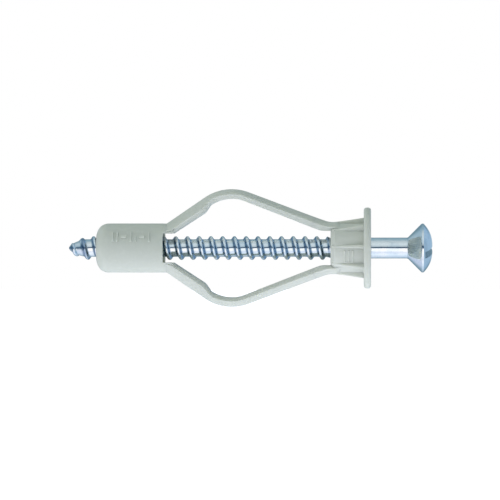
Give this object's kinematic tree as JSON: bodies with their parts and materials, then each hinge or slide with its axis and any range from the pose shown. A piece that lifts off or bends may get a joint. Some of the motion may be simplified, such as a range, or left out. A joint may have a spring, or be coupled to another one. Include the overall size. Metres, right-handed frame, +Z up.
{
  "type": "wall anchor",
  "caption": "Flanged nylon hollow-wall plug whose bowed arms fold out when its slotted countersunk screw draws the sleeve towards the collar.",
  "frame": {"origin": "centre of the flange's wall-side face", "axes": "+X along the screw, out of the wall towards the head; +Z up, the way the upper arm spreads; +Y completes the right-handed frame"},
  "size_m": [0.0606, 0.0134, 0.0198],
  "materials": {
    "nylon": "moulded polyamide, pale grey with a faint green cast, softly glossy",
    "zinc_steel": "steel with bright zinc plating, slightly blue"
  },
  "bodies": {
    "collar": {"collar": "nylon"},
    "front_arm_upper": {"front_arm_upper": "nylon"},
    "rear_arm_upper": {"rear_arm_upper": "nylon"},
    "sleeve": {"sleeve": "nylon"},
    "front_arm_lower": {"front_arm_lower": "nylon"},
    "rear_arm_lower": {"rear_arm_lower": "nylon"},
    "screw_slide": {"screw_shank": "zinc_steel"},
    "screw_turn": {"screw_thread": "zinc_steel", "screw_head": "zinc_steel"}
  },
  "joints": [
    {"name": "upper_arm_fold", "type": "hinge", "parent": "collar", "child": "front_arm_upper", "pos_m": [-0.00528, 0, 0.00333], "axis": [0, 1, 0], "range_deg": [-20, 50], "stiffness_Nm_per_rad": 0.05},
    {"name": "upper_arm_bend", "type": "hinge", "parent": "front_arm_upper", "child": "rear_arm_upper", "pos_m": [-0.01878, 0, 0.00832], "axis": [0, -1, 0], "range_deg": [-40, 100]},
    {"name": "sleeve_hinge", "type": "hinge", "parent": "rear_arm_upper", "child": "sleeve", "pos_m": [-0.03228, 0, 0.00333], "axis": [0, 1, 0], "range_deg": [-20, 50]},
    {"name": "lower_arm_fold", "type": "hinge", "parent": "collar", "child": "front_arm_lower", "pos_m": [-0.00528, 0, -0.00333], "axis": [0, -1, 0], "range_deg": [-20, 50]},
    {"name": "lower_arm_bend", "type": "hinge", "parent": "front_arm_lower", "child": "rear_arm_lower", "pos_m": [-0.01878, 0, -0.00832], "axis": [0, 1, 0], "range_deg": [-40, 100]},
    {"name": "screw_advance", "type": "slide", "parent": "collar", "child": "screw_slide", "axis": [-1, 0, 0], "range_m": [0, 0.00845]},
    {"name": "screw_turn", "type": "hinge", "parent": "screw_slide", "child": "screw_turn", "pos_m": [0, 0, 0], "axis": [-1, 0, 0], "range_deg": [0, 1553]}
  ],
  "couplings": [
    {"joint": "upper_arm_bend", "follows": "upper_arm_fold", "ratio": 2},
    {"joint": "sleeve_hinge", "follows": "upper_arm_fold", "ratio": 1},
    {"joint": "lower_arm_fold", "follows": "upper_arm_fold", "ratio": 1},
    {"joint": "lower_arm_bend", "follows": "upper_arm_fold", "ratio": 2},
    {"joint": "screw_turn", "follows": "screw_advance", "rad_per_m": 3205.7}
  ]
}
